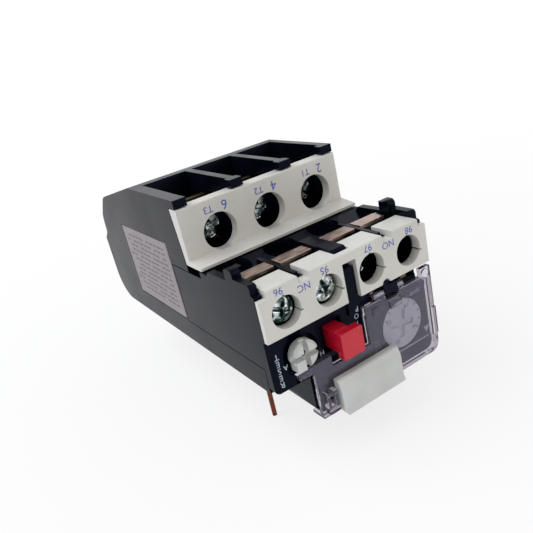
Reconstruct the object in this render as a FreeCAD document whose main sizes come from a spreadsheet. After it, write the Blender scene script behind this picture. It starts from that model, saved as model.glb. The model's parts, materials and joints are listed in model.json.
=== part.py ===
import FreeCAD, Part
import Sketcher
import os

# Thermal overload relay, 45 mm wide, that hangs from a contactor by three copper pins.
# All sizes are in millimetres. Everything is drawn with X to the right, Y from the front
# face to the rear and Z up towards the cable side, from the lower front edge of the
# auxiliary terminal cover. Each body's Placement then moves that point so that the
# origin is where the middle contactor pin leaves the underside.

doc = FreeCAD.newDocument("thermal_overload_relay")
sheet = doc.addObject("Spreadsheet::Sheet", "Sizes")


class Length:
    """A length: its value and the formula over the sheet's cells that gives it."""

    def __init__(self, value, formula):
        self.value = value
        self.formula = formula

    def __add__(self, other):
        return join(self, "+", other)

    def __radd__(self, other):
        return join(other, "+", self)

    def __sub__(self, other):
        return join(self, "-", other)

    def __rsub__(self, other):
        return join(other, "-", self)

    def __mul__(self, other):
        return join(self, "*", other)

    def __rmul__(self, other):
        return join(other, "*", self)

    def __truediv__(self, other):
        return join(self, "/", other)

    def __neg__(self):
        return join(-1, "*", self)


def as_length(number):
    """A plain number as a Length, and a Length as it is."""
    if isinstance(number, Length):
        return number
    return Length(float(number), "(%r)" % float(number))


def join(left, sign, right):
    """The Length that one arithmetic sign makes of two lengths or numbers."""
    left = as_length(left)
    right = as_length(right)
    values = {
        "+": left.value + right.value,
        "-": left.value - right.value,
        "*": left.value * right.value,
        "/": left.value / right.value if right.value else 0.0,
    }
    return Length(values[sign], "(%s %s %s)" % (left.formula, sign, right.formula))


def size(alias, value, note):
    """Write one driving dimension into the sheet and return it as a Length."""
    size.row += 1
    cell = "B%d" % size.row
    sheet.set("A%d" % size.row, note)
    sheet.set(cell, str(value))
    sheet.setAlias(cell, alias)
    return Length(float(value), "Sizes.%s" % alias)


size.row = 0

# ---------------------------------------------------------------- driving dimensions
rear_y = size("rear_y", 92.5, "rear face, measured from the front of the auxiliary cover")
top_z = size("top_z", 26.1, "top of the cable bays")
underside_z = size("underside_z", -13.3, "underside that faces the contactor")
parting_z = size("parting_z", -7.4, "top of the base tray, under the control module")
mouth_y = size("mouth_y", 40.0, "front of the heater chambers, behind the control module")
wall = size("wall", 1.6, "wall of the black mouldings")
gap = size("gap", 0.2, "clearance between mouldings")
slip = size("slip", 0.05, "running clearance on the radius of a pin or shaft")

rear_round = size("rear_round", 8.0, "radius of the lower rear edge")
shoulder_z = size("shoulder_z", 6.0, "step in the rear face")
slope_run = size("slope_run", 5.2, "from the bays' rear wall to where the top starts to slope")
slope_round = size("slope_round", 6.5, "radius where the slope meets the rear")

pole_pitch = size("pole_pitch", 13.9, "pitch of the load terminals")
end_room = size("end_room", 8.6, "mean room beside the outer load terminals")
pole_middle_x = size("pole_middle_x", 1.0, "middle load terminal")
pole_z = size("pole_z", 15.83, "height of the load terminal screws")
bay_floor_z = size("bay_floor_z", 10.2, "floor of the cable bays")
bay_rear_room = size("bay_rear_room", 8.6, "from the terminal bars to the bays' rear wall")
bay_lean = size("bay_lean", 2.0, "how far the bays' rear wall leans back at the top")
divider = size("divider", 2.0, "thickness of the dividers between the bays")
left_wall = size("left_wall", 3.3, "wall beside the left cable bay")
hook_y = size("hook_y", 28.8, "front end of the divider hooks")
hook_width = size("hook_width", 3.4, "width of the divider hooks")
hook_head = size("hook_head", 2.3, "length of the divider hooks' full width")
hook_taper = size("hook_taper", 1.2, "length over which the divider hooks narrow")

load_front_y = size("load_front_y", 28.4, "front face of the load terminal cover")
load_top_z = size("load_top_z", 23.9, "top of the load terminal cover")
load_low_z = size("load_low_z", 10.4, "lower edge of the load terminal cover")
load_flange_y = size("load_flange_y", 23.0, "front edge of the flange of the load cover")
load_hole_r = size("load_hole_r", 4.4, "radius of the screwdriver holes of the load cover")

load_screw_r = size("load_screw_r", 2.0, "radius of the load terminal screw's shank")
load_head_r = size("load_head_r", 3.5, "radius of the load terminal screw's head")
load_head_out = size("load_head_out", 8.9, "from the terminal bar out to the screw's head face")
load_head_t = size("load_head_t", 2.7, "thickness of the load terminal screw's head")
load_screw_past = size("load_screw_past", 5.6, "how far the screw reaches past the bar's face")
load_bar_y = size("load_bar_y", 43.4, "front face of the load terminal bar")
load_bar_t = size("load_bar_t", 1.6, "thickness of the load terminal bar")
load_bar_w = size("load_bar_w", 10.4, "width of the load terminal bar")

aux_depth = size("aux_depth", 6.6, "depth of the auxiliary terminal cover")
aux_top_z = size("aux_top_z", 10.9, "top of the auxiliary terminal cover")
aux_front_wall = size("aux_front_wall", 2.4, "front wall of the auxiliary cover")
aux_pitch = size("aux_pitch", 10.85, "pitch of a pair of auxiliary terminals")
aux_pair_x = size("aux_pair_x", 11.3, "middle of a pair of auxiliary terminals")
aux_z = size("aux_z", 4.85, "height of the auxiliary terminal screws")
aux_hole_r = size("aux_hole_r", 3.5, "radius of the screw pockets of the auxiliary cover")
aux_cell = size("aux_cell", 7.2, "width of one auxiliary terminal cell")
aux_head_r = size("aux_head_r", 2.9, "radius of the auxiliary screw's head")
aux_head_t = size("aux_head_t", 2.0, "thickness of the auxiliary screw's head")
aux_screw_r = size("aux_screw_r", 1.7, "radius of the auxiliary screw's shank")
aux_screw_l = size("aux_screw_l", 11.0, "length of the auxiliary screw")
aux_open_y = size("aux_open_y", 1.6, "head face of an auxiliary screw that is backed out")
aux_shut_y = size("aux_shut_y", 4.9, "head face of an auxiliary screw that is screwed in")
slot_left_x = size("slot_left_x", -1.67, "left side of the slot in the auxiliary cover")
slot_right_x = size("slot_right_x", 1.91, "right side of the slot in the auxiliary cover")
slot_wall = size("slot_wall", 0.7, "wall of the auxiliary cover beside its slot")
slit_w = size("slit_w", 0.35, "width of the slits in the rims of the screw pockets")
slit_reach = size("slit_reach", 0.4, "reach of the slits beyond the pocket's rim")
slit_drop = size("slit_drop", 1.1, "how far the side slit lies below the pocket's axis")
catch_x = size("catch_x", 9.25, "catch in the lower edge of the auxiliary cover")
catch_r = size("catch_r", 0.85, "radius of the catch")
catch_room = size("catch_room", 0.35, "room around the catch")
rib_top_z = size("rib_top_z", 7.1, "top of the rib's front part in the slot")
rib_front_y = size("rib_front_y", 0.9, "front of the rib in the slot")
barrier_w = size("barrier_w", 1.0, "thickness of the barrier between two terminals")
scoop_x = size("scoop_x", -16.0, "first scoop under the load cover's flange")
scoop_pitch = size("scoop_pitch", 12.8, "pitch of the scoops")
scoop_y = size("scoop_y", 20.1, "middle of the scoops")
scoop_r = size("scoop_r", 4.2, "radius of the scoops")
post_y = size("post_y", 8.5, "front of the posts on the side walls")
post_t = size("post_t", 3.3, "depth of the posts on the side walls")
post_w = size("post_w", 3.0, "width of the posts on the side walls")

strip_y = size("strip_y", 12.3, "front face of the auxiliary contact strips")
strip_t = size("strip_t", 0.8, "thickness of the auxiliary contact strips")
flange_y = size("flange_y", 9.4, "front edge of the contact strips' top flanges")
tip_y = size("tip_y", 17.2, "end of the fixed contact tips")
mech_front_y = size("mech_front_y", 16.4, "front wall of the mechanism cavity")

panel_y = size("panel_y", 2.0, "front face of the panel below the auxiliary cover")
panel_low_z = size("panel_low_z", -13.0, "lower end of the left column of the panel")
block_left_x = size("block_left_x", -14.0, "left side of the dial block")
block_right_x = size("block_right_x", 21.0, "right side of the dial block")
block_front_y = size("block_front_y", 1.5, "front face of the dial block")
block_rear_y = size("block_rear_y", 15.0, "rear face of the dial block")
block_low_z = size("block_low_z", -22.0, "underside of the dial block")

dial_x = size("dial_x", 13.2, "setting dial")
dial_z = size("dial_z", -12.4, "setting dial")
dial_r = size("dial_r", 6.0, "radius of the setting dial")
dial_y = size("dial_y", 1.9, "face of the setting dial")
dial_t = size("dial_t", 2.4, "thickness of the setting dial's disc")
dial_shaft_r = size("dial_shaft_r", 2.0, "radius of the setting dial's shaft")

reset_x = size("reset_x", -14.6, "reset knob")
reset_z = size("reset_z", -6.1, "reset knob")
reset_r = size("reset_r", 3.2, "radius of the reset knob")
reset_y = size("reset_y", -0.5, "face of the reset knob")
reset_corner_x = size("reset_corner_x", 2.85, "reach of the knob's square quarter to the left")
reset_corner_z = size("reset_corner_z", 2.95, "reach of the knob's square quarter downwards")
reset_swing_r = size("reset_swing_r", 4.3, "radius of the recess that the reset knob turns in")
reset_stem_r = size("reset_stem_r", 1.2, "radius of the reset plunger")

stop_left_x = size("stop_left_x", -7.4, "left side of the stop button's shank")
stop_right_x = size("stop_right_x", -4.0, "right side of the stop button's shank")
stop_low_z = size("stop_low_z", -8.9, "lower side of the stop button's shank")
stop_high_z = size("stop_high_z", -3.9, "upper side of the stop button's shank")
stop_front_y = size("stop_front_y", -3.0, "face of the stop button's cap")
stop_cap_t = size("stop_cap_t", 2.0, "thickness of the stop button's cap")

cover_t = size("cover_t", 1.2, "wall of the clear cover")
hinge_y = size("hinge_y", 1.3, "axis of the clear cover's hinge")
hinge_z = size("hinge_z", -2.4, "axis of the clear cover's hinge")
barrel_r = size("barrel_r", 1.1, "radius of the clear cover's hinge barrels")
hinge_pin_r = size("hinge_pin_r", 0.6, "radius of the clear cover's hinge pin")
knuckle_x = size("knuckle_x", 8.6, "left side of the hinge knuckle")
knuckle_w = size("knuckle_w", 3.8, "width of the hinge knuckle")
barrel_left = size("barrel_left", 3.2, "length of the left hinge barrel")
barrel_right = size("barrel_right", 1.6, "length of the right hinge barrel")
window_step = size("window_step", 0.35, "depth of the window in the clear cover's back")
bead = size("bead", 0.4, "height of the beads on the clear cover's front")

pin_spread = size("pin_spread", 0.6, "how much wider the pins' pitch is than the terminals'")
pin_y = size("pin_y", 21.5, "row of the contactor pins")
pin_r = size("pin_r", 0.6, "radius of the contactor pins")
pin_root_r = size("pin_root_r", 0.8, "radius of the contactor pins inside the base")
pin_length = size("pin_length", 18.6, "length of the contactor pins below the underside")
pin_run_z = size("pin_run_z", -10.5, "height of the pins' run inside the base")

bimetal_t = size("bimetal_t", 0.8, "thickness of a bimetal strip")
bimetal_w = size("bimetal_w", 5.0, "width of a bimetal strip")
bimetal_front_y = size("bimetal_front_y", 34.2, "free end of the bimetal strips")
bimetal_rear_y = size("bimetal_rear_y", 82.0, "fixed end of the bimetal strips")
bar_travel = size("bar_travel", 1.8, "travel of the slider bars")

fixing_in = size("fixing_in", 5.1, "from the side of the housing to a fixing screw")
fixing_y = size("fixing_y", 26.0, "fixing screws")
label_t = size("label_t", 0.15, "thickness of the side label")
label_front_y = size("label_front_y", 40.9, "front edge of the side label")
label_rear_y = size("label_rear_y", 71.5, "rear edge of the side label")
label_low_z = size("label_low_z", -6.8, "lower edge of the side label")
label_high_z = size("label_high_z", 13.8, "upper edge of the side label")

# ------------------------------------------------------- places worked out from them
width = pole_pitch * 2 + end_room * 2
half = width / 2
bay_rear_y = load_bar_y + bay_rear_room
slope_y = bay_rear_y + slope_run
load_head_y = load_bar_y - load_head_out
load_screw_end_y = load_bar_y + load_screw_past
pin_pitch = pole_pitch + pin_spread
fixing_x = half - fixing_in
knuckle_end = knuckle_x + knuckle_w
barrel_start = knuckle_x - gap - barrel_left
barrel_end = knuckle_end + gap + barrel_right
module_top_z = bay_floor_z - wall - gap
module_rear_y = mouth_y - gap
module_floor_z = parting_z + gap
cavity_low_z = module_floor_z + wall
cavity_high_z = module_top_z - wall
chamber_floor_z = underside_z + wall
poles = [pole_middle_x - pole_pitch, pole_middle_x + 0, pole_middle_x + pole_pitch]
dividers = [pole_middle_x - pole_pitch / 2, pole_middle_x + pole_pitch / 2]
terminals = [
    -aux_pair_x - aux_pitch / 2,
    -aux_pair_x + aux_pitch / 2,
    aux_pair_x - aux_pitch / 2,
    aux_pair_x + aux_pitch / 2,
]
terminal_heads = [aux_open_y, aux_open_y, aux_shut_y, aux_shut_y]
pins = [-pin_pitch, pin_pitch * 0, pin_pitch + 0]
sub_parts = []


# ------------------------------------------------------------------------- tools
def bind(item, prop, length):
    """Bind one property of an object to the formula of a length."""
    item.setExpression(prop, as_length(length).formula)


def new_body(label, counted=True):
    """A PartDesign body, moved so that the middle pin's root is the origin."""
    body = doc.addObject("PartDesign::Body", label)
    body.Label = label
    bind(body, "Placement.Base.y", -pin_y)
    bind(body, "Placement.Base.z", -underside_z)
    if counted:
        sub_parts.append(body)
    return body


def polygon(*corners):
    """An outline through corners, as a function that draws it in a sketch."""
    corners = [(as_length(u), as_length(v)) for u, v in corners]

    def draw(sketch):
        first = sketch.GeometryCount
        count = len(corners)
        points = [FreeCAD.Vector(u.value, v.value, 0) for u, v in corners]
        for i in range(count):
            sketch.addGeometry(Part.LineSegment(points[i], points[(i + 1) % count]), False)
        for i in range(count):
            after = first + (i + 1) % count
            sketch.addConstraint(Sketcher.Constraint("Coincident", first + i, 2, after, 1))
        for i, (u, v) in enumerate(corners):
            fix_point(sketch, first + i, 1, u, v)

    return draw


def box(left, right, low, high):
    """A rectangular outline, as a function that draws it in a sketch."""
    return polygon((left, low), (right, low), (right, high), (left, high))


def circle(u, v, radius):
    """A round outline, as a function that draws it in a sketch."""
    u, v, radius = as_length(u), as_length(v), as_length(radius)

    def draw(sketch):
        centre = FreeCAD.Vector(u.value, v.value, 0)
        normal = FreeCAD.Vector(0, 0, 1)
        index = sketch.addGeometry(Part.Circle(centre, normal, radius.value), False)
        fix_point(sketch, index, 3, u, v)
        rule = sketch.addConstraint(Sketcher.Constraint("Radius", index, radius.value))
        bind(sketch, "Constraints[%d]" % rule, radius)

    return draw


def fix_point(sketch, index, corner, u, v):
    """Tie one point of a sketch's geometry to its two coordinates."""
    for kind, length in (("DistanceX", u), ("DistanceY", v)):
        rule = sketch.addConstraint(
            Sketcher.Constraint(kind, -1, 1, index, corner, length.value)
        )
        bind(sketch, "Constraints[%d]" % rule, length)


def sketch_on(body, name, plane, place, outlines):
    """A sketch on an origin plane of the body, at a place along X, Y or Z."""
    sketch = body.newObject("Sketcher::SketchObject", name)
    planes = [item for item in body.Origin.OriginFeatures if item.Role == plane]
    sketch.AttachmentSupport = [(planes[0], "")]
    sketch.MapMode = "FlatFace"
    side = -1 if plane == "XZ_Plane" else 1
    bind(sketch, "AttachmentOffset.Base.z", side * as_length(place))
    for draw in outlines:
        draw(sketch)
    return sketch


def pad(body, name, plane, start, end, *outlines):
    """Add the outlines as a block from start to end along the plane's axis."""
    feature = body.newObject("PartDesign::Pad", name)
    feature.Profile = sketch_on(body, name + "_sketch", plane, start, outlines)
    feature.Reversed = plane == "XZ_Plane"
    bind(feature, "Length", end - as_length(start))
    body.Tip = feature
    return feature


def cut(body, name, plane, start, end, *outlines):
    """Take the outlines away from start to end along the plane's axis."""
    feature = body.newObject("PartDesign::Pocket", name)
    feature.Profile = sketch_on(body, name + "_sketch", plane, start, outlines)
    feature.Reversed = plane != "XZ_Plane"
    bind(feature, "Length", end - as_length(start))
    body.Tip = feature
    return feature


def edges_along(body, axis, places):
    """Names of the tip's straight edges along an axis at the given places."""
    doc.recompute()
    found = []
    for number, edge in enumerate(body.Tip.Shape.Edges, 1):
        if len(edge.Vertexes) != 2:
            continue
        start, end = (vertex.Point for vertex in edge.Vertexes)
        run = end - start
        if abs(abs(run[axis]) - run.Length) > 1e-6:
            continue
        middle = (start + end) / 2
        spot = [middle[i] for i in range(3) if i != axis]
        for place in places:
            if all(abs(a - as_length(b).value) < 0.02 for a, b in zip(spot, place)):
                found.append("Edge%d" % number)
    if not found:
        raise ValueError("no edge found on " + body.Label)
    return found


def round_edges(body, name, axis, places, radius):
    """Fillet the edges that run along an axis (0, 1 or 2) at the given places."""
    names = edges_along(body, axis, places)
    base = body.Tip
    feature = body.newObject("PartDesign::Fillet", name)
    feature.Base = (base, names)
    bind(feature, "Radius", radius)
    body.Tip = feature
    return feature


def bevel_rim(body, name, axis, place, radius, depth):
    """Chamfer the circles of one radius that lie at one place along an axis."""
    doc.recompute()
    names = []
    for number, edge in enumerate(body.Tip.Shape.Edges, 1):
        if not isinstance(edge.Curve, Part.Circle):
            continue
        if abs(edge.Curve.Radius - as_length(radius).value) > 1e-4:
            continue
        if abs(edge.Curve.Center[axis] - as_length(place).value) < 1e-4:
            names.append("Edge%d" % number)
    if not names:
        raise ValueError("no rim found on " + body.Label)
    base = body.Tip
    feature = body.newObject("PartDesign::Chamfer", name)
    feature.Base = (base, names)
    bind(feature, "Size", depth)
    body.Tip = feature
    return feature


# ------------------------------------------------------------------ base_housing
def base_housing():
    """Black base: heater chambers at the rear, cable bays on top, tray in front."""
    body = new_body("base_housing")
    tray_front_y = block_rear_y + gap
    pad(
        body, "base_block", "YZ_Plane", -half, half,
        polygon(
            (tray_front_y, underside_z),
            (rear_y, underside_z),
            (rear_y, shoulder_z),
            (rear_y - 3.1, shoulder_z + 2.6),
            (rear_y - 4.0, shoulder_z + 8.0),
            (rear_y - 10.5, shoulder_z + 14.7),
            (slope_y, top_z),
            (hook_y, top_z),
            (hook_y, load_top_z + gap),
            (load_front_y + 3.7, load_top_z + gap),
            (load_front_y + 2.3, module_top_z + gap),
            (mouth_y, module_top_z + gap),
            (mouth_y, parting_z),
            (tray_front_y, parting_z),
        ),
    )
    pad(
        body, "tray_corner", "XY_Plane", underside_z, parting_z,
        box(-half, block_left_x - gap, panel_y + wall + 3 * gap, tray_front_y + wall),
    )
    round_edges(body, "rear_edge", 0, [(rear_y, underside_z)], rear_round)
    round_edges(
        body, "slope_edges", 0,
        [(rear_y - 4.0, shoulder_z + 8.0), (rear_y - 10.5, shoulder_z + 14.7)], slope_round,
    )
    inner = rear_y - wall
    for name, (left, right) in zip(("left", "middle", "right"), chambers()):
        cut(
            body, name + "_chamber", "YZ_Plane", left, right,
            polygon(
                (mouth_y - 1, cavity_low_z - gap),
                (mouth_y + 4.2, cavity_low_z - gap),
                (mouth_y + 4.2, chamber_floor_z),
                (inner - 5, chamber_floor_z),
                (inner, chamber_floor_z + 5),
                (inner, shoulder_z - 1.0),
                (inner - 3.5, shoulder_z + 2.0),
                (inner - 4.5, shoulder_z + 7.5),
                (inner - 10.0, shoulder_z + 13.0),
                (slope_y, top_z - wall),
                (bay_rear_y + wall + bay_lean, top_z - wall),
                (bay_rear_y + wall, bay_floor_z - wall),
                (mouth_y + wall, bay_floor_z - wall),
                (mouth_y + wall, cavity_high_z + gap),
                (mouth_y - 1, cavity_high_z + gap),
            ),
        )
    for name, (left, right) in zip(("left", "middle", "right"), bays()):
        cut(
            body, name + "_bay", "YZ_Plane", left, right,
            polygon(
                (hook_y - 1, bay_floor_z), (bay_rear_y, bay_floor_z),
                (bay_rear_y + bay_lean, top_z), (bay_rear_y + bay_lean, top_z + 1),
                (hook_y - 1, top_z + 1),
            ),
        )
    heads = [hook_outline(x, hook_width / 2, hook_width / 2) for x in dividers]
    heads.append(hook_outline(-half + 0.5, 0.5, hook_width - 0.5))
    heads.append(hook_outline(half - 0.5, hook_width - 0.5, 0.5))
    pad(body, "divider_hooks", "XY_Plane", load_top_z + gap, top_z, *heads)
    slots = [box(x - 2.1, x + 2.1, load_bar_y - 0.1, load_bar_y + load_bar_t + 0.1) for x in poles]
    cut(body, "bar_slots", "XY_Plane", bay_floor_z - wall - 0.5, bay_floor_z + 0.5, *slots)
    channel = pin_root_r + gap
    channels = [box(x - channel, x + channel, pin_y - channel, mouth_y + 5) for x in pins]
    cut(body, "pin_channels", "XY_Plane", pin_run_z - pin_r - gap, parting_z + 1, *channels)
    holes = [circle(x, pin_y, pin_root_r + slip) for x in pins]
    cut(body, "pin_holes", "XY_Plane", underside_z - 1, pin_run_z, *holes)
    heads = [circle(x, fixing_y, 2.8) for x in (-fixing_x, fixing_x)]
    cut(body, "fixing_heads", "XY_Plane", underside_z - 1, underside_z + 2.6, *heads)
    shanks = [circle(x, fixing_y, 1.4) for x in (-fixing_x, fixing_x)]
    cut(body, "fixing_holes", "XY_Plane", underside_z + 2, parting_z + 1, *shanks)
    cut(
        body, "label_recess", "YZ_Plane", -half - 1, -half + label_t + 0.05,
        box(label_front_y - 0.2, label_rear_y + 0.2, label_low_z - 0.2, label_high_z + 0.2),
    )


def hook_outline(x, left, right):
    """Plan of a divider's hook: a full-width head that narrows towards the divider."""
    neck_y = hook_y + hook_head + hook_taper
    return polygon(
        (x - left, hook_y), (x + right, hook_y), (x + right, hook_y + hook_head),
        (x + 0.4, neck_y), (x - 0.4, neck_y), (x - left, hook_y + hook_head),
    )


def chambers():
    """Left and right wall of each heater chamber."""
    edges = [-half + wall, dividers[0] - 0.7]
    yield tuple(edges)
    yield (dividers[0] + 0.7, dividers[1] - 0.7)
    yield (dividers[1] + 0.7, half - wall)


def bays():
    """Left and right wall of each cable bay."""
    yield (-half + left_wall, dividers[0] - divider / 2)
    yield (dividers[0] + divider / 2, dividers[1] - divider / 2)
    yield (dividers[1] + divider / 2, half - divider)


def side_label():
    """Paper label in its recess on the left side."""
    body = new_body("side_label")
    pad(
        body, "label_sheet", "YZ_Plane", -half + 0.02, -half + 0.02 + label_t,
        box(label_front_y, label_rear_y, label_low_z, label_high_z),
    )


def housing_screws():
    """Two fixing screws from below that hold the control module in the base."""
    screws = []
    for side, x in (("left", -fixing_x), ("right", fixing_x)):
        body = new_body("fixing_screw_" + side, counted=False)
        head_z = underside_z + 0.4
        pad(body, side + "_head", "XY_Plane", head_z, head_z + 2.0, circle(x, fixing_y, 2.5))
        pad(
            body, side + "_shank", "XY_Plane", head_z + 2.0, cavity_low_z + 3.0,
            circle(x, fixing_y, 1.2),
        )
        cut(
            body, side + "_cross", "XY_Plane", head_z - 1, head_z + 1.2,
            cross(x, fixing_y, 3.2, 0.8),
        )
        screws.append(body)
    group("housing_screws", screws)


def cross(u, v, reach, bar):
    """Outline of a cross recess: its full length and the width of its bars."""
    a = reach / 2
    b = bar / 2
    return polygon(
        (u - b, v - a), (u + b, v - a), (u + b, v - b), (u + a, v - b),
        (u + a, v + b), (u + b, v + b), (u + b, v + a), (u - b, v + a),
        (u - b, v + b), (u - a, v + b), (u - a, v - b), (u - b, v - b),
    )


def group(label, bodies):
    """One node that holds several equal bodies as separate solids."""
    compound = doc.addObject("Part::Compound", label)
    compound.Label = label
    compound.Links = bodies
    sub_parts.append(compound)


# ---------------------------------------------------------------- control_housing
def control_housing():
    """Black control module: terminal cells, panel, dial block and mechanism cavity."""
    body = new_body("control_housing")
    low = panel_low_z
    floor = module_floor_z
    pad(
        body, "module_block", "YZ_Plane", -half, half,
        polygon(
            (panel_y, low),
            (panel_y, -gap),
            (aux_depth + gap, -gap),
            (aux_depth + gap, aux_top_z - 1.9),
            (17.5, aux_top_z - 1.9),
            (load_flange_y - 0.6, load_low_z - 0.3),
            (load_flange_y + 1.4, load_low_z - 0.3),
            (load_flange_y + 1.4, module_top_z),
            (module_rear_y, module_top_z),
            (module_rear_y, floor),
            (panel_y + wall + 2 * gap, floor),
            (panel_y + wall + 2 * gap, low),
        ),
    )
    pad(
        body, "dial_block", "XZ_Plane", block_front_y, block_rear_y,
        box(block_left_x, block_right_x, block_low_z, -gap),
    )
    round_edges(
        body, "block_corners", 1,
        [(block_left_x, block_low_z), (block_right_x, block_low_z)], 2.0,
    )
    round_edges(body, "column_corner", 1, [(-half, low)], 1.4)
    side_walls(body)
    cut(
        body, "right_relief", "XZ_Plane", -1, 7.6,
        box(block_right_x, half + 1, block_low_z - 1, 0),
    )
    cut(
        body, "mechanism_cavity", "XZ_Plane", mech_front_y, module_rear_y + 1,
        box(-half + 2.8, half - 2.8, cavity_low_z, cavity_high_z),
    )
    cells = [
        box(x - aux_cell / 2, x + aux_cell / 2, 0.9, aux_top_z + 3) for x in terminals
    ]
    cut(body, "terminal_cells", "XZ_Plane", aux_depth - 1, strip_y + strip_t + 0.1, *cells)
    bores = [circle(x, aux_z, aux_screw_r + gap) for x in terminals]
    cut(body, "screw_holes", "XZ_Plane", strip_y, mech_front_y + 1, *bores)
    tails = [
        box(x - 1.6, x + 1.6, 1.1, 2.5) for x in contact_tails()
    ]
    cut(body, "tail_slots", "XZ_Plane", strip_y, mech_front_y + 1, *tails)
    cut(
        body, "block_cavity", "XZ_Plane", 6.0, block_rear_y - wall,
        box(block_left_x + wall, block_right_x - wall, block_low_z + 1.4, -1.4),
    )
    cut(
        body, "cavity_link", "XZ_Plane", block_rear_y - 2 * wall, mech_front_y + 1,
        box(block_left_x + wall, block_right_x - wall, cavity_low_z, -1.4),
    )
    front_features(body)
    top_features(body)
    bosses = [circle(x, fixing_y, 2.7) for x in (-fixing_x, fixing_x)]
    pad(body, "fixing_bosses", "XY_Plane", cavity_low_z - 0.5, cavity_low_z + 4.0, *bosses)
    threads = [circle(x, fixing_y, 1.2 + slip) for x in (-fixing_x, fixing_x)]
    cut(body, "fixing_threads", "XY_Plane", module_floor_z - 1, cavity_low_z + 3.2, *threads)


def side_walls(body):
    """Upstanding side walls of the wire channel, with a post and stepped tops."""
    top = aux_top_z + 3.1
    shoulder = aux_top_z + 1.3
    post_end = post_y + post_t
    profile = polygon(
        (1.4, -gap), (1.4, 9.9), (2.3, 10.1), (2.3, shoulder), (post_y, shoulder),
        (post_y, top), (post_end, top), (post_end, 11.2), (20.0, 11.0), (21.0, 9.9),
        (load_flange_y + 1.4, 9.9), (load_flange_y + 1.4, -gap),
    )
    for name, start in (("left", -half), ("right", half - 1.8)):
        pad(body, name + "_wall", "YZ_Plane", start, start + 1.8, profile)
    posts = [
        box(-half, -half + post_w, post_y, post_end), box(half - post_w, half, post_y, post_end),
    ]
    pad(body, "wall_posts", "XY_Plane", aux_top_z - 2.5, top, *posts)
    round_edges(body, "post_tops", 0, [(post_y, top), (post_end, top)], 1.1)
    round_edges(body, "wall_front", 0, [(2.3, shoulder)], 0.8)


def contact_tails():
    """X place of the tail of each fixed contact strip."""
    inner = aux_cell / 2 - 1.5
    return [
        terminals[0] + inner, terminals[1] - inner, terminals[2] + inner, terminals[3] - inner,
    ]


def front_features(body):
    """Recesses, bores and knuckle on the panel and the dial block."""
    front = block_front_y - 0.6
    cut(body, "dial_recess", "XZ_Plane", front, dial_y + dial_t + 0.3, circle(dial_x, dial_z, dial_r + 0.4))
    cut(body, "dial_bore", "XZ_Plane", front, 6.5, circle(dial_x, dial_z, dial_shaft_r + slip))
    cut(
        body, "reset_recess", "XZ_Plane", front, panel_y + 1.2,
        circle(reset_x, reset_z, reset_swing_r),
    )
    cut(
        body, "column_step", "XZ_Plane", front, panel_y + 1.2,
        box(-17.0, block_left_x, panel_low_z + 0.1, -1.5),
    )
    cut(
        body, "reset_channel", "XZ_Plane", panel_y + 1.0, block_rear_y,
        box(reset_x - 1.6, reset_x + 1.6, module_floor_z - 1, reset_z + 1.5),
    )
    cut(
        body, "stop_recess", "XZ_Plane", front, panel_y + 1.0,
        box(stop_left_x - 1.8, stop_right_x + 0.4, stop_low_z - 0.5, stop_high_z + 1.5),
    )
    cut(
        body, "stop_bore", "XZ_Plane", front, 6.5,
        box(stop_left_x - gap, stop_right_x + gap, stop_low_z - gap, stop_high_z + gap),
    )
    slot_x = barrel_end + 2 * gap
    cut(body, "test_slot", "XZ_Plane", front, block_front_y + 3.0, box(slot_x, 19.0, -2.0, -0.6))
    cut(body, "corner_relief", "XZ_Plane", front, 3.8, box(19.0, block_right_x + 1, -4.4, 0))
    reliefs = [
        box(barrel_start - gap, knuckle_x, -4.4, -0.9),
        box(knuckle_end, barrel_end + gap, -4.4, -0.9),
    ]
    cut(body, "hinge_reliefs", "XZ_Plane", front, 2.9, *reliefs)
    pad(
        body, "knuckle", "YZ_Plane", knuckle_x, knuckle_end,
        polygon(
            (hinge_y - barrel_r, hinge_z - 0.45), (hinge_y - 0.45, hinge_z - barrel_r),
            (2.4, hinge_z - barrel_r), (2.4, -0.5), (hinge_y + 0.3, -0.5),
            (hinge_y - 0.7, -0.9), (hinge_y - barrel_r, hinge_z + 0.6),
        ),
    )
    cut(
        body, "knuckle_bore", "YZ_Plane", knuckle_x - 0.5, knuckle_end + 0.5,
        circle(hinge_y, hinge_z, hinge_pin_r + slip),
    )
    pad(body, "catch", "XZ_Plane", 0.6, panel_y, circle(catch_x, -gap, catch_r))
    sides = (slot_left_x + 0.27, slot_right_x - 0.27)
    pad(body, "slot_rib", "XZ_Plane", rib_front_y, aux_depth + 1, box(*sides, -3.6, rib_top_z))
    pad(body, "slot_back", "XZ_Plane", rib_front_y + 2.4, aux_depth + 1, box(*sides, 6.0, 8.5))


def top_features(body):
    """Rib over the auxiliary cover, barriers, ledges and funnels of the wire channel."""
    pad(
        body, "centre_rib", "YZ_Plane", slot_left_x, slot_right_x,
        polygon(
            (2.6, 9.1), (2.6, 10.9), (3.1, 11.4), (14.7, 11.3), (15.2, 10.7), (15.2, 8.5),
            (aux_depth, 8.5), (aux_depth, 9.1),
        ),
    )
    thin = barrier_w / 2
    pairs = (-aux_pair_x, aux_pair_x)
    barriers = [box(x - thin, x + thin, 1.0, aux_top_z - 0.3) for x in pairs]
    pad(body, "barriers", "XZ_Plane", aux_front_wall + 1.5 * gap, aux_depth + 1, *barriers)
    ridges = [box(x - thin, x + thin, aux_top_z - 3.0, aux_top_z - 0.3) for x in pairs]
    pad(body, "barrier_ridges", "XZ_Plane", aux_depth + gap, 17.0, *ridges)
    scoops = [circle(scoop_x + i * scoop_pitch, scoop_y, scoop_r) for i in range(3)]
    cut(body, "scoops", "XY_Plane", aux_top_z - 3.6, aux_top_z + 1.5, *scoops)


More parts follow.
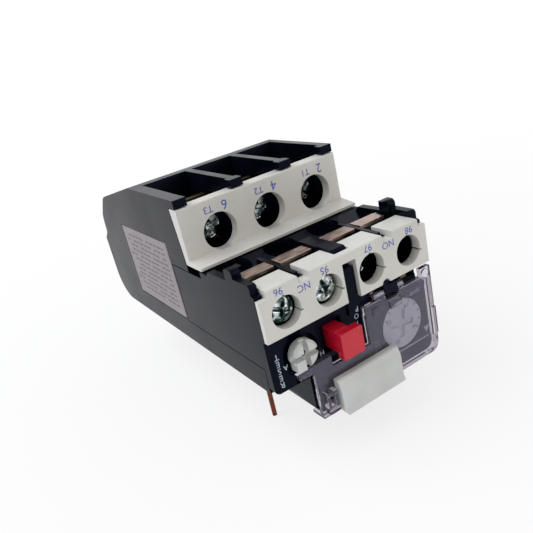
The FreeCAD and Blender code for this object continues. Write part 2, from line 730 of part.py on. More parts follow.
# -------------------------------------------------------------------- covers
def load_cover():
    """Grey cover in front of the cable bays, with three screwdriver holes."""
    body = new_body("load_terminal_cover")
    pad(
        body, "load_plate", "YZ_Plane", -half, half,
        polygon(
            (load_flange_y, load_low_z),
            (load_front_y + 2.1, load_low_z),
            (load_front_y + 3.5, load_top_z),
            (load_front_y, load_top_z),
            (load_front_y, load_low_z + 1.4),
            (load_flange_y, load_low_z + 0.7),
        ),
    )
    round_edges(body, "load_top_edge", 0, [(load_front_y, load_top_z)], 0.4)
    holes = [circle(x, pole_z, load_hole_r) for x in poles]
    cut(body, "load_holes", "XZ_Plane", load_front_y - 1, load_front_y + 4, *holes)


def aux_cover():
    """Grey cover over the four auxiliary terminals."""
    body = new_body("aux_terminal_cover")
    inner = half - 2.1
    pad(body, "aux_block", "XZ_Plane", 0, aux_depth, box(-inner, inner, 0, aux_top_z))
    ends = [box(-half, -inner + 0.5, 0, 9.26), box(inner - 0.5, half, 0, 9.26)]
    pad(body, "aux_ends", "XZ_Plane", 0, 1.2, *ends)
    round_edges(body, "aux_top_edge", 0, [(0, aux_top_z)], 0.4)
    rooms = [
        box(-inner - 1, slot_left_x - slot_wall, -1, aux_top_z - 1.4),
        box(slot_right_x + slot_wall, inner + 1, -1, aux_top_z - 1.4),
    ]
    cut(body, "aux_rooms", "XZ_Plane", aux_front_wall, aux_depth + 1, *rooms)
    holes = [circle(x, aux_z, aux_hole_r) for x in terminals]
    cut(body, "aux_holes", "XZ_Plane", -1, aux_front_wall + 0.5, *holes)
    rim = aux_hole_r - 0.2
    reach = aux_hole_r + slit_reach
    low = aux_z - slit_drop
    thin = slit_w / 2
    side_slits = [box(x + rim - 0.3, x + reach, low - thin, low + thin) for x in terminals]
    cut(body, "side_slits", "XZ_Plane", -1, aux_front_wall + 0.5, *side_slits)
    top_slits = [box(x - thin, x + thin, aux_z + rim, aux_z + reach) for x in terminals]
    cut(body, "top_slits", "XZ_Plane", -1, aux_front_wall + 0.5, *top_slits)
    cut(
        body, "catch_notch", "XZ_Plane", -1, aux_front_wall,
        circle(catch_x, -gap, catch_r + catch_room),
    )
    cut(body, "aux_slot", "XZ_Plane", -1, aux_depth + 1, box(slot_left_x, slot_right_x, -1, 8.8))
    cut(
        body, "aux_rib_notch", "XZ_Plane", 1.8, aux_depth + 1,
        box(slot_left_x - gap, slot_right_x + gap, 8.0, aux_top_z + 1),
    )
    notches = [box(x - 1.4, x + 1.4, 9.4, aux_top_z + 1) for x in (-aux_pair_x, aux_pair_x)]
    cut(body, "aux_notches", "XZ_Plane", -1, aux_depth + 1, *notches)


def clear_cover():
    """Clear L-shaped cover over the dial, hinged at its upper edge."""
    body = new_body("clear_cover")
    right = half - gap
    low = block_low_z - gap - 0.8
    outline = polygon(
        (block_left_x + 0.5, low),
        (right, low),
        (right, -0.9),
        (19.3, -0.9),
        (19.3, -3.0),
        (knuckle_end + gap, -3.0),
        (knuckle_end + gap, -4.2),
        (knuckle_x - gap, -4.2),
        (knuckle_x - gap, -3.0),
        (2.0, -3.0),
        (2.0, -11.9),
        (-8.7, -11.9),
        (-8.7, -9.4),
        (block_left_x + 0.5, -9.4),
        (block_left_x + 0.5, -9.8),
        (-17.6, -9.8),
        (-17.2, -11.3),
        (block_left_x + 0.5, -11.3),
    )
    pad(body, "cover_plate", "XZ_Plane", 0, cover_t, outline)
    pad(
        body, "cover_side", "YZ_Plane", block_right_x + gap, right,
        polygon((0, low), (5.0, low), (5.0, -5.0), (cover_t, -4.2), (0, -4.2)),
    )
    pad(
        body, "cover_lip", "YZ_Plane", block_left_x + 0.5, right,
        polygon((0, low), (4.0, low), (4.0, block_low_z - gap), (0, block_low_z - gap)),
    )
    round_edges(body, "cover_corner", 1, [(right, low)], 2.4)
    cut(
        body, "cover_window", "XZ_Plane", cover_t - window_step, cover_t + 0.5,
        polygon(
            (block_left_x + 1.5, -18.4), (21.0, -18.4), (21.0, -5.2), (knuckle_end + 0.5, -5.2),
            (knuckle_end + 0.5, -6.6), (knuckle_x - 0.5, -6.6), (knuckle_x - 0.5, -5.2),
            (3.0, -5.2), (3.0, -12.9), (block_left_x + 1.5, -12.9),
        ),
    )
    pad(body, "seal_lug", "XZ_Plane", -1.6, 0.5, box(-12.7, -9.9, -21.7, -16.5))
    cut(body, "seal_hole", "XZ_Plane", -2, cover_t + 1, box(-12.0, -10.6, -20.6, -17.4))
    beads = [
        box(21.2, right, -18.4, -11.4), box(4.0, 5.7, -5.9, -4.2), circle(20.4, -2.2, 1.1),
        box(knuckle_x + 0.4, knuckle_end, -6.2, -4.5),
    ]
    pad(body, "cover_beads", "XZ_Plane", -bead, 0.5, *beads)
    barrels = ((barrel_start, knuckle_x - gap), (knuckle_end + gap, barrel_end))
    for name, (start, end) in zip(("left", "right"), barrels):
        pad(body, name + "_barrel", "YZ_Plane", start, end, circle(hinge_y, hinge_z, barrel_r))
    cut(
        body, "barrel_bore", "YZ_Plane", barrel_start - 0.5, barrel_end + 0.5,
        circle(hinge_y, hinge_z, hinge_pin_r + slip),
    )


def cover_hinge_pin():
    """Pin through the clear cover's barrels and the knuckle."""
    body = new_body("cover_hinge_pin")
    pad(
        body, "hinge_rod", "YZ_Plane", barrel_start, barrel_end,
        circle(hinge_y, hinge_z, hinge_pin_r),
    )


def finger_tab():
    """Curved off-white tab on the clear cover, to open it by."""
    body = new_body("finger_tab")
    left, right = -9.4, 8.1
    bends = [(-1.5, -14.8), (-2.35, -16.6), (-2.35, -21.8)]
    lip = (-2.8, -23.3)
    pad(
        body, "tab_block", "YZ_Plane", left, right,
        polygon(
            (-0.05, -14.8), *bends, lip, (-2.3, -23.7), (-1.5, -23.4), (-0.9, -22.2),
            (-0.05, -22.0),
        ),
    )
    round_edges(body, "tab_top", 0, bends[:1], 0.9)
    round_edges(body, "tab_shoulder", 0, bends[1:2], 4.0)
    round_edges(body, "tab_flare", 0, bends[2:], 2.4)
    cut(
        body, "tab_corner", "XZ_Plane", -4, 1,
        polygon((left - 1, -24.5), (left + 1.6, -24.5), (left + 0.5, -23.1), (left, -22.3), (left - 1, -22.3)),
    )


# ------------------------------------------------------------------ controls
def setting_dial():
    """Round dial with a cross slot, its shaft and the eccentric that it turns."""
    body = new_body("setting_dial")
    back = dial_y + dial_t
    pad(body, "dial_disc", "XZ_Plane", dial_y, back, circle(dial_x, dial_z, dial_r))
    pad(body, "dial_shaft", "XZ_Plane", back, 11.6, circle(dial_x, dial_z, dial_shaft_r))
    cut(body, "dial_cross", "XZ_Plane", dial_y - 1, dial_y + 0.9, cross(dial_x, dial_z, 7.0, 1.5))


def setting_cam():
    """Eccentric cam on the dial's shaft."""
    body = new_body("setting_cam")
    pad(body, "cam_disc", "XZ_Plane", 7.5, 10.0, circle(dial_x + 0.8, dial_z, 3.6))
    cut(body, "cam_bore", "XZ_Plane", 7.0, 11.0, circle(dial_x, dial_z, dial_shaft_r))


def adjusting_lever():
    """Follower above the cam that passes the setting on to the trip lever."""
    body = new_body("adjusting_lever")
    pad(body, "lever_plate", "XZ_Plane", 8.0, 9.4, box(11.4, 15.0, -7.7, -2.0))
    pad(body, "lever_arm", "XZ_Plane", 9.4, 23.0, box(12.4, 14.0, -4.4, -2.0))


def reset_knob():
    """Reset knob with one square quarter as its pointer, a cross slot and a bore."""
    body = new_body("reset_knob")
    x, z = reset_x, reset_z
    pad(body, "knob_disc", "XZ_Plane", reset_y, 2.0, circle(x, z, reset_r))
    bevel_rim(body, "knob_bevel", 1, reset_y, reset_r, 0.6)
    pad(
        body, "knob_pointer", "XZ_Plane", reset_y, 2.0,
        box(x - reset_corner_x, x - 0.2, z - reset_corner_z, z - 0.2),
    )
    cut(
        body, "knob_cross", "XZ_Plane", reset_y - 1, 1.1, cross(x, z, 2 * reset_r + 1, 1.3),
    )
    cut(body, "knob_bore", "XZ_Plane", 0.5, 3.0, circle(x, z, 0.7 + slip))


def reset_plunger():
    """Round plunger behind the reset knob, with a spigot that the knob turns on."""
    body = new_body("reset_plunger")
    pad(body, "plunger_stem", "XZ_Plane", 2.1, 12.0, circle(reset_x, reset_z, reset_stem_r))
    pad(body, "plunger_spigot", "XZ_Plane", 1.2, 2.2, circle(reset_x, reset_z, 0.7))


def stop_button():
    """Red push button: a wide cap on a rectangular shank."""
    body = new_body("stop_button")
    cap_back = stop_front_y + stop_cap_t
    pad(
        body, "stop_cap", "XZ_Plane", stop_front_y, cap_back,
        box(stop_left_x - 0.1, stop_right_x + 2.3, stop_low_z - 1.4, stop_high_z - 0.2),
    )
    round_edges(
        body, "stop_cap_corners", 1,
        [
            (stop_left_x - 0.1, stop_low_z - 1.4), (stop_right_x + 2.3, stop_low_z - 1.4),
            (stop_left_x - 0.1, stop_high_z - 0.2), (stop_right_x + 2.3, stop_high_z - 0.2),
        ], 0.4,
    )
    pad(
        body, "stop_shank", "XZ_Plane", cap_back, 9.0,
        box(stop_left_x, stop_right_x, stop_low_z, stop_high_z),
    )


def return_springs():
    """Compression springs behind the stop button and the reset plunger."""
    middle_x = (stop_left_x + stop_right_x) / 2
    middle_z = (stop_low_z + stop_high_z) / 2
    body = new_body("stop_spring")
    pad(
        body, "stop_coil", "XZ_Plane", 9.05, block_rear_y - wall - 0.05,
        circle(middle_x, middle_z, 1.6), circle(middle_x, middle_z, 1.1),
    )
    body = new_body("reset_spring")
    pad(
        body, "reset_coil", "XZ_Plane", 12.05, block_rear_y - 0.05,
        circle(reset_x, reset_z, 1.1), circle(reset_x, reset_z, 0.7),
    )


def test_slider():
    """Small test slider in its slot above the clear cover."""
    body = new_body("test_slider")
    start = barrel_end + 3 * gap
    pad(body, "test_block", "XZ_Plane", 1.7, 4.3, box(start, start + 1.8, -1.85, -0.75))


# ------------------------------------------------------------------ terminals
def screw(name, x, z, face_y, head_r, head_t, shank_r, end_y):
    """Pan head screw along Y with a cross recess."""
    body = new_body(name, counted=False)
    pad(body, name + "_head", "XZ_Plane", face_y, face_y + head_t, circle(x, z, head_r))
    bevel_rim(body, name + "_bevel", 1, face_y, head_r, head_t * 0.25)
    pad(body, name + "_shank", "XZ_Plane", face_y + head_t, end_y, circle(x, z, shank_r))
    cut(
        body, name + "_cross", "XZ_Plane", face_y - 1, face_y + head_t * 0.6,
        cross(x, z, 1.3 * head_r, 0.3 * head_r),
    )
    return body


def plate(name, x, z, start_y, thick, side, hole_r):
    """Square clamp plate with a round hole."""
    body = new_body(name, counted=False)
    pad(
        body, name + "_plate", "XZ_Plane", start_y, start_y + thick,
        box(x - side / 2, x + side / 2, z - side / 2, z + side / 2), circle(x, z, hole_r),
    )
    return body


def load_terminals():
    """Screws, clamp plates and bars of the three load terminals."""
    screws = []
    plates = []
    for number, x in zip((3, 2, 1), poles):
        screws.append(screw(
            "load_screw_%d" % number, x, pole_z, load_head_y, load_head_r, load_head_t,
            load_screw_r, load_screw_end_y,
        ))
        plates.append(plate(
            "load_plate_%d" % number, x, pole_z, load_head_y + load_head_t + gap, 1.4, 9.0,
            load_screw_r + gap,
        ))
        bar = new_body("load_terminal_bar_%d" % number)
        back = load_bar_y + load_bar_t
        pad(
            bar, "bar_plate_%d" % number, "XZ_Plane", load_bar_y, back,
            box(x - load_bar_w / 2, x + load_bar_w / 2, bay_floor_z + gap, pole_z + 5.7),
        )
        pad(
            bar, "bar_neck_%d" % number, "XZ_Plane", load_bar_y, back,
            box(x - 2.0, x + 2.0, bimetal_w / 2 + 2.7, bay_floor_z + 1),
        )
        pad(
            bar, "bar_tail_%d" % number, "XZ_Plane", load_bar_y, bimetal_rear_y + 2,
            box(x - 2.0, x + 2.0, bimetal_w / 2 + 2.7, bimetal_w / 2 + 3.9),
        )
        cut(
            bar, "bar_hole_%d" % number, "XZ_Plane", load_bar_y - 1, back + 1,
            circle(x, pole_z, load_screw_r + slip),
        )
    group("load_terminal_screws", screws)
    group("load_clamp_plates", plates)


def aux_terminals():
    """Screws and clamp plates of the four auxiliary terminals."""
    screws = []
    plates = []
    for number, x, face in zip((96, 95, 97, 98), terminals, terminal_heads):
        screws.append(screw(
            "aux_screw_%d" % number, x, aux_z, face, aux_head_r, aux_head_t, aux_screw_r,
            face + aux_screw_l,
        ))
        plates.append(plate(
            "aux_plate_%d" % number, x, aux_z, face + aux_head_t + gap, 1.0, 6.4,
            aux_screw_r + gap,
        ))
    group("aux_terminal_screws", screws)
    group("aux_clamp_plates", plates)


def contact_strips():
    """Fixed contact strips, each with its top flange, tail and contact button."""
    top = aux_top_z - 0.1
    flanges = [
        (-half + 3.2, -aux_pair_x - 0.8), (-aux_pair_x + 0.9, slot_left_x - 0.3),
        (slot_right_x + 0.3, aux_pair_x - 0.9), (aux_pair_x + 0.8, half - 3.2),
    ]
    for number, x, tail, sides in zip((96, 95, 97, 98), terminals, contact_tails(), flanges):
        body = new_body("contact_strip_%d" % number)
        back = strip_y + strip_t
        pad(
            body, "strip_plate_%d" % number, "XZ_Plane", strip_y, back,
            box(x - aux_cell / 2 + 0.2, x + aux_cell / 2 - 0.2, 1.1, top - 0.1),
            circle(x, aux_z, aux_screw_r + slip),
        )
        pad(
            body, "strip_flange_%d" % number, "XZ_Plane", flange_y, back,
            box(sides[0], sides[1], top - strip_t, top),
        )
        pad(
            body, "strip_tail_%d" % number, "XZ_Plane", back, tip_y - 0.6,
            box(tail - 1.5, tail + 1.5, 1.3, 2.3),
        )
        pad(
            body, "strip_tip_%d" % number, "XZ_Plane", tip_y - 0.6, tip_y,
            circle(tail, 1.8, 1.3),
        )


# ------------------------------------------------------------------ mechanism
def contactor_pins():
    """Copper pins that plug into the contactor and run back to the heaters."""
    for name, x in zip(("left", "middle", "right"), pins):
        body = new_body("contactor_pin_" + name)
        top = pin_run_z + pin_root_r
        pad(
            body, name + "_plug", "XY_Plane", underside_z - pin_length, underside_z,
            circle(x, pin_y, pin_r),
        )
        pad(body, name + "_root", "XY_Plane", underside_z, top, circle(x, pin_y, pin_root_r))
        pad(
            body, name + "_run", "XZ_Plane", pin_y, mouth_y + 16,
            circle(x, pin_run_z, pin_r),
        )


def heaters():
    """Bimetal strip, winding and bracket of each pole."""
    for number, x, pin_x in zip((3, 2, 1), poles, pins):
        strip = new_body("bimetal_strip_%d" % number)
        pad(
            strip, "bimetal_%d" % number, "YZ_Plane", x - bimetal_t / 2, x + bimetal_t / 2,
            box(bimetal_front_y, bimetal_rear_y, -bimetal_w / 2, bimetal_w / 2),
        )
        winding = new_body("heater_winding_%d" % number)
        inner = box(
            x - bimetal_t / 2 - 0.5, x + bimetal_t / 2 + 0.5,
            -bimetal_w / 2 - 0.5, bimetal_w / 2 + 0.5,
        )
        pad(
            winding, "sleeve_%d" % number, "XZ_Plane", 50.0, 76.0,
            box(x - 1.5, x + 1.5, -bimetal_w / 2 - 1.0, bimetal_w / 2 + 1.0), inner,
        )
        turn = pad(
            winding, "turn_%d" % number, "XZ_Plane", 51.0, 52.4,
            box(x - 2.0, x + 2.0, -bimetal_w / 2 - 1.5, bimetal_w / 2 + 1.5), inner,
        )
        turns = winding.newObject("PartDesign::LinearPattern", "turns_%d" % number)
        turns.Originals = [turn]
        axes = [item for item in winding.Origin.OriginFeatures if item.Role == "Y_Axis"]
        turns.Direction = (axes[0], [""])
        turns.Length = 22.0
        turns.Occurrences = 9
        winding.Tip = turns
        pad(
            winding, "lead_%d" % number, "XZ_Plane", 51.0, 52.4,
            box(pin_x - 0.5, pin_x + 0.5, pin_run_z + pin_r + 0.05, -bimetal_w / 2 - 0.9),
        )
        bracket = new_body("heater_bracket_%d" % number)
        pad(
            bracket, "bracket_%d" % number, "XZ_Plane", bimetal_rear_y, bimetal_rear_y + 3.0,
            box(x - 2.6, x + 2.6, chamber_floor_z + 0.1, bimetal_w / 2 + 2.5),
        )


def slider_bars():
    """Driving bar above and differential bar below the free ends of the bimetals."""
    start = bimetal_front_y - 0.6
    end = bimetal_front_y + 2.2
    reach = half - 5.0
    driving = new_body("driving_bar")
    pad(driving, "driving_rail", "XZ_Plane", start, end, box(-reach, reach, 3.6, cavity_high_z - 0.3))
    prongs = [
        box(x + bimetal_t / 2 + 0.3, x + bimetal_t / 2 + 1.7, -2.0, 4.0) for x in poles
    ]
    pad(driving, "driving_prongs", "XZ_Plane", start + 0.3, end - 0.3, *prongs)
    pad(driving, "driving_nose", "XZ_Plane", start - 2.4, start + 0.5, box(8.2, 9.6, 3.6, cavity_high_z - 0.3))
    differential = new_body("differential_bar")
    pad(
        differential, "differential_rail", "XZ_Plane", start, end,
        box(-reach, reach, cavity_low_z + 0.3, -3.2),
    )
    prongs = [
        box(x - bimetal_t / 2 - bar_travel - 1.7, x - bimetal_t / 2 - bar_travel - 0.3, -3.6, 2.0)
        for x in poles
    ]
    pad(differential, "differential_prongs", "XZ_Plane", start + 0.3, end - 0.3, *prongs)


def trip_parts():
    """Trip lever with its compensating strip, contact rocker and their pins."""
    lever_x, lever_y, rocker_y = 12.0, 25.0, 21.8
    lever = new_body("trip_lever")
    pad(lever, "lever_hub", "XY_Plane", 3.8, 5.4, circle(lever_x, lever_y, 2.2))
    pad(lever, "lever_drive", "XY_Plane", 3.8, 5.4, box(10.0, 11.6, lever_y, lever_y + 7.4))
    pad(lever, "lever_tail", "XY_Plane", 3.8, 5.4, box(2.0, lever_x, lever_y - 2.0, lever_y - 0.6))
    cut(lever, "lever_bore", "XY_Plane", 3.0, 6.0, circle(lever_x, lever_y, 0.8 + slip))
    strip = new_body("compensating_strip")
    pad(strip, "compensator", "XY_Plane", 3.9, 5.3, box(2.2, lever_x - 1.4, lever_y - 2.7, lever_y - 2.05))
    pin = new_body("trip_lever_pin")
    pad(pin, "lever_pin", "XY_Plane", cavity_low_z, cavity_high_z, circle(lever_x, lever_y, 0.8))
    rocker = new_body("contact_rocker")
    pad(rocker, "rocker_hub", "XY_Plane", -1.0, 3.2, circle(0, rocker_y, 2.0))
    pad(rocker, "rocker_left", "XY_Plane", 0.6, 3.0, box(-12.4, 0.4, 18.7, 20.6))
    pad(rocker, "rocker_right", "XY_Plane", 0.6, 3.0, box(-0.4, 12.4, 20.2, 22.1))
    cut(rocker, "rocker_bore", "XY_Plane", -2.0, 4.0, circle(0, rocker_y, 0.8 + slip))
    pin = new_body("contact_rocker_pin")
    pad(pin, "rocker_pin", "XY_Plane", cavity_low_z, cavity_high_z, circle(0, rocker_y, 0.8))
    tails = contact_tails()
    for name, outer, inner, back in (("nc", 0, 1, 18.65), ("no", 3, 2, 20.15)):
        contact = new_body("moving_contact_" + name)
        left, right = sorted((tails[outer], tails[inner]), key=lambda length: length.value)
        pad(contact, name + "_bridge", "XY_Plane", 0.7, 2.9, box(left - 1.2, right + 1.2, back - 0.7, back))
        pad(
            contact, name + "_buttons", "XZ_Plane", back - 1.25, back - 0.6,
            circle(left, 1.8, 1.0), circle(right, 1.8, 1.0),
        )


base_housing()
side_label()
housing_screws()
control_housing()
load_cover()
aux_cover()
clear_cover()
cover_hinge_pin()
finger_tab()
setting_dial()
setting_cam()
adjusting_lever()
reset_knob()
reset_plunger()
stop_button()
return_springs()
test_slider()
load_terminals()
aux_terminals()
contact_strips()
contactor_pins()
heaters()
slider_bars()
trip_parts()
doc.recompute()

# ------------------------------------------------------------- checks and export
for item in doc.Objects:
    if "Invalid" in item.State or "Error" in item.State:
        raise RuntimeError("failed object: %s (%s)" % (item.Label, item.getStatusString()))
    if item.TypeId == "PartDesign::Pocket":
        if item.Shape.Volume > item.BaseFeature.Shape.Volume - 1e-3:
            raise RuntimeError("pocket cuts nothing: " + item.Label)
for part in sub_parts:
    if part.Shape.isNull() or not part.Shape.isValid():
        raise RuntimeError("bad shape: " + part.Label)
os.makedirs("parts", exist_ok=True)
for part in sub_parts:
    part.Shape.exportStep("parts/%s.step" % part.Label)
print("%d sub-parts written" % len(sub_parts))
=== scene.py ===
"""Looks of a thermal overload relay: finishes, screws, springs, moulded edges and printed marks."""
import json
import math

import bpy
import numpy as np
from mathutils import Matrix, Vector


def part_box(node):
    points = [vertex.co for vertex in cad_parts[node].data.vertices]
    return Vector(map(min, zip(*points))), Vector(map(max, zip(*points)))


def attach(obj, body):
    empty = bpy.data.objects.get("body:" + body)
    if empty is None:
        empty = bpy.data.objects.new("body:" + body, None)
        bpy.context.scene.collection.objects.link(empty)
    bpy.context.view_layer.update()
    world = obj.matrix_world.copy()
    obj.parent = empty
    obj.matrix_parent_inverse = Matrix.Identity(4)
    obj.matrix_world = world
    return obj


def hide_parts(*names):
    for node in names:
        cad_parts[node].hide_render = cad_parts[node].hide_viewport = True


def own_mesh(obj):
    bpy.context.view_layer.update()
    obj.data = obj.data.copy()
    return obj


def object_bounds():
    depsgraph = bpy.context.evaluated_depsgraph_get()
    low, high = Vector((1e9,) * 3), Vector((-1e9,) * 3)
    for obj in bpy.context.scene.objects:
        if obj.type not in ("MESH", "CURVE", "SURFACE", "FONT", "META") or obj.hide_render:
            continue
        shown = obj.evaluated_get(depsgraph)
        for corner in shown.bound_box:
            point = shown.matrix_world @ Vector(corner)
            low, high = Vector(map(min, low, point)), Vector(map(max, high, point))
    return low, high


MM = 0.001
RIGHT, REAR, UP = np.eye(3)


# ---------------------------------------------------------------- places on the relay
def corners(node):
    """Lowest and highest corner of a moulded or metal part, as two arrays."""
    low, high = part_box(node)
    return np.array(low), np.array(high)


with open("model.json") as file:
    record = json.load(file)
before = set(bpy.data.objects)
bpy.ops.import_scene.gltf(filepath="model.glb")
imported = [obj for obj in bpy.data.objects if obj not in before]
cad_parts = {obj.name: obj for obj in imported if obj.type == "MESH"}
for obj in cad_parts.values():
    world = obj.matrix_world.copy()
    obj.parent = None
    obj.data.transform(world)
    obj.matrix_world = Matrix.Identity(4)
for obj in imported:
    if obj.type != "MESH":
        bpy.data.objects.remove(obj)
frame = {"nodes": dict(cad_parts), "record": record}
cad_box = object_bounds()
owner = {node: body for body, nodes in frame["record"]["behaviour"]["bodies"].items() for node in nodes}
slot_of = {part["node"]: part["material_slot"] for part in frame["record"]["subparts"]}


# ---------------------------------------------------------------- finishes
def linear(hex_colour):
    """The linear colour of an sRGB hex value such as 'd9d6cc'."""
    parts = [int(hex_colour[i:i + 2], 16) / 255 for i in (0, 2, 4)]
    return [p / 12.92 if p <= 0.04045 else ((p + 0.055) / 1.055) ** 2.4 for p in parts] + [1.0]


def add(tree, kind, settings=None, inputs=None):
    """Add one shader node with its settings; an input is a value or another node's output."""
    node = tree.nodes.new("ShaderNode" + kind)
    for name, value in (settings or {}).items():
        setattr(node, name, value)
    for name, value in (inputs or {}).items():
        if isinstance(value, bpy.types.NodeSocket):
            tree.links.new(value, node.inputs[name])
        else:
            node.inputs[name].default_value = value
    return node


def finish(
    name, colours, roughness, drift_mm, grain_mm, depth_mm, stretch=(1, 1, 1), band=(0.38, 0.62),
    specks=None, tint=None, **surface,
):
    """One whole finish. A slow noise, drift_mm across, slides between the two colours and the
    two roughness values over its band; a fine noise, grain_mm across, lifts the surface by
    depth_mm. Specks of dust, each (hex colour, cell in mm, radius in mm), lie on top. The
    tint of a clear moulding, (hex colour, density per metre), dims what is seen through it."""
    material = bpy.data.materials.new(name)
    material.use_nodes = True
    tree = material.node_tree
    tree.nodes.clear()
    place = add(tree, "TexCoord").outputs["Object"]
    spread = add(tree, "Mapping", inputs={"Vector": place, "Scale": stretch}).outputs["Vector"]
    drift = add(tree, "TexNoise", inputs={
        "Vector": spread, "Scale": 1 / (drift_mm * MM), "Detail": 5.0, "Roughness": 0.55,
    }).outputs["Fac"]
    grain = add(tree, "TexNoise", inputs={
        "Vector": spread, "Scale": 1 / (grain_mm * MM), "Detail": 3.0,
    }).outputs["Fac"]
    shade = add(tree, "ValToRGB", inputs={"Fac": drift})
    for stop, at, colour in zip(shade.color_ramp.elements, band, colours):
        stop.position = at
        stop.color = linear(colour)
    colour = shade.outputs["Color"]
    rough = add(tree, "MapRange", inputs={
        "Value": drift, "From Min": band[0], "From Max": band[1],
        "To Min": roughness[0], "To Max": roughness[1],
    }).outputs["Result"]
    if specks:
        dust_colour, cell_mm, radius_mm = specks
        cells = add(tree, "TexVoronoi", {"feature": "F1"}, {
            "Vector": place, "Scale": 1 / (cell_mm * MM), "Randomness": 1.0,
        }).outputs["Distance"]
        dust = add(tree, "MapRange", inputs={
            "Value": cells, "From Min": 0.5 * radius_mm / cell_mm, "From Max": radius_mm / cell_mm,
            "To Min": 1.0, "To Max": 0.0,
        }).outputs["Result"]
        colour = add(tree, "MixRGB", inputs={
            "Fac": dust, "Color1": colour, "Color2": linear(dust_colour),
        }).outputs["Color"]
        rough = add(tree, "Math", {"operation": "MULTIPLY_ADD"}, {0: dust, 1: 0.4, 2: rough}).outputs[0]
    lift = add(tree, "Bump", inputs={"Height": grain, "Distance": depth_mm * MM, "Strength": 0.5})
    skin = add(tree, "BsdfPrincipled", inputs={
        "Base Color": colour, "Roughness": rough, "Normal": lift.outputs["Normal"], **surface,
    })
    out = add(tree, "OutputMaterial", inputs={"Surface": skin.outputs["BSDF"]})
    if tint:
        inner = add(tree, "VolumeAbsorption", inputs={"Color": linear(tint[0]), "Density": tint[1]})
        tree.links.new(inner.outputs["Volume"], out.inputs["Volume"])
    return material


# Phenolic moulding compound, pressed in a polished tool: blue-black and glossy, the gloss
# broken by slow flow marks and a few specks of dust. Its blue specular tint is a painted
# reflection of blue sky in the gloss. Its IOR is matched to a dark gloss under an all-white
# room, so it lies below the typical value.
BLACK = finish(
    "black_phenolic_moulding", colours=("05070f", "090c17"), roughness=(0.14, 0.28),
    drift_mm=15.0, grain_mm=1.1, depth_mm=0.010,
    specks=("34363e", 2.6, 0.09), **{"IOR": 1.19, "Specular Tint": linear("a9b6ee")},
)
# Glass-filled polyamide, moulded against a spark-eroded tool: warm grey with a fine matt grain.
IVORY = finish(
    "ivory_polyamide_moulding", colours=("cac9c2", "d2d1cb"), roughness=(0.32, 0.44),
    drift_mm=14.0, grain_mm=0.30, depth_mm=0.014, specks=("8e8a82", 5.5, 0.06), **{"IOR": 1.5},
)
# Polypropylene, moulded smooth: saturated red that glows a little at its edges.
RED = finish(
    "red_polypropylene_moulding", colours=("be0e28", "ca1934"), roughness=(0.24, 0.36),
    drift_mm=9.0, grain_mm=0.35, depth_mm=0.010,
    **{"IOR": 1.49, "Subsurface Weight": 0.15, "Subsurface Scale": 0.4 * MM},
)
# Polyamide, moulded satin: a plain cool white, soft where it is thin.
WHITE = finish(
    "white_polyamide_moulding", colours=("c4c7c5", "cdd0ce"), roughness=(0.28, 0.4),
    drift_mm=8.0, grain_mm=0.30, depth_mm=0.010,
    **{"IOR": 1.5, "Subsurface Weight": 0.15, "Subsurface Scale": 0.5 * MM},
)
# Thin bright white polyamide of the dial, painted a little whiter than the other white parts
# to make up for the light that the clear cover over it holds back.
DIAL_WHITE_PAINTED_BRIGHTER = finish(
    "dial_white_polyamide_painted_brighter", colours=("dce4e8", "e4eaec"), roughness=(0.4, 0.5),
    drift_mm=8.0, grain_mm=0.30, depth_mm=0.008, **{"IOR": 1.5},
)
# Wood-flour phenolic of the inner levers: dull brown with a coarse fleck.
BROWN = finish(
    "brown_phenolic_moulding", colours=("4d3222", "65452f"), roughness=(0.4, 0.5),
    drift_mm=2.0, grain_mm=0.5, depth_mm=0.020, **{"IOR": 1.5},
)
# Polycarbonate, moulded clear: thin, with a lilac haze that deepens along its walls and rims.
# The lilac is partly its own tint and partly painted warm light in its rims, and its blue
# specular tint is a painted blue reflection.
CLEAR = finish(
    "clear_polycarbonate_moulding", colours=("eae6ee", "f1eef3"), roughness=(0.03, 0.1),
    drift_mm=9.0, grain_mm=2.4, depth_mm=0.014,
    tint=("b2aab6", 240.0), **{"Specular Tint": linear("c6cbf4"), "IOR": 1.5, "Transmission Weight": 0.96},
)
# Bright zinc plate on a cold-headed screw: white metal with green and blue passivation tints.
# Its dark teal patches are partly those tints and partly painted reflections of dark surroundings.
ZINC = finish(
    "zinc_plated_screw_steel", colours=("26403d", "e9eef0"), roughness=(0.1, 0.24),
    drift_mm=1.6, grain_mm=0.2, depth_mm=0.006, band=(0.44, 0.6), **{"Metallic": 1.0},
)
# Cold-rolled steel of the inner plates and springs: grey, streaked along the rolling.
STEEL = finish(
    "rolled_steel", colours=("85878a", "a7a9ab"), roughness=(0.26, 0.4),
    drift_mm=1.2, grain_mm=0.2, depth_mm=0.010, stretch=(0.2, 1, 1), **{"Metallic": 1.0},
)
# Stamped brass of the terminal bars, dulled brown by handling.
BRASS = finish(
    "stamped_brass", colours=("2e261a", "54452c"), roughness=(0.35, 0.5),
    drift_mm=2.2, grain_mm=0.3, depth_mm=0.012, stretch=(0.3, 1, 1), **{"Metallic": 1.0},
)
# Nickel-plated copper strip of the contacts: pinkish, streaked along the strip.
STRIP = finish(
    "plated_copper_strip", colours=("a08b82", "bda89e"), roughness=(0.28, 0.4),
    drift_mm=0.9, grain_mm=0.16, depth_mm=0.008, stretch=(0.35, 1, 1), **{"Metallic": 1.0},
)
# Drawn copper pin, oxidised dark red-brown, brighter where the drawing lines stand proud.
COPPER = finish(
    "oxidised_drawn_copper", colours=("3d1c13", "7c4029"), roughness=(0.3, 0.5),
    drift_mm=0.7, grain_mm=0.2, depth_mm=0.020, stretch=(1, 1, 0.15), **{"Metallic": 1.0},
)
# Coated paper of the side label: pinkish grey with fibres as faint specks.
PAPER = finish(
    "coated_label_paper", colours=("857c80", "948a8d"), roughness=(0.4, 0.55),
    drift_mm=3.0, grain_mm=0.3, depth_mm=0.012,
    stretch=(1, 1, 0.5), specks=("8d7f7d", 1.3, 0.07), **{"IOR": 1.45},
)
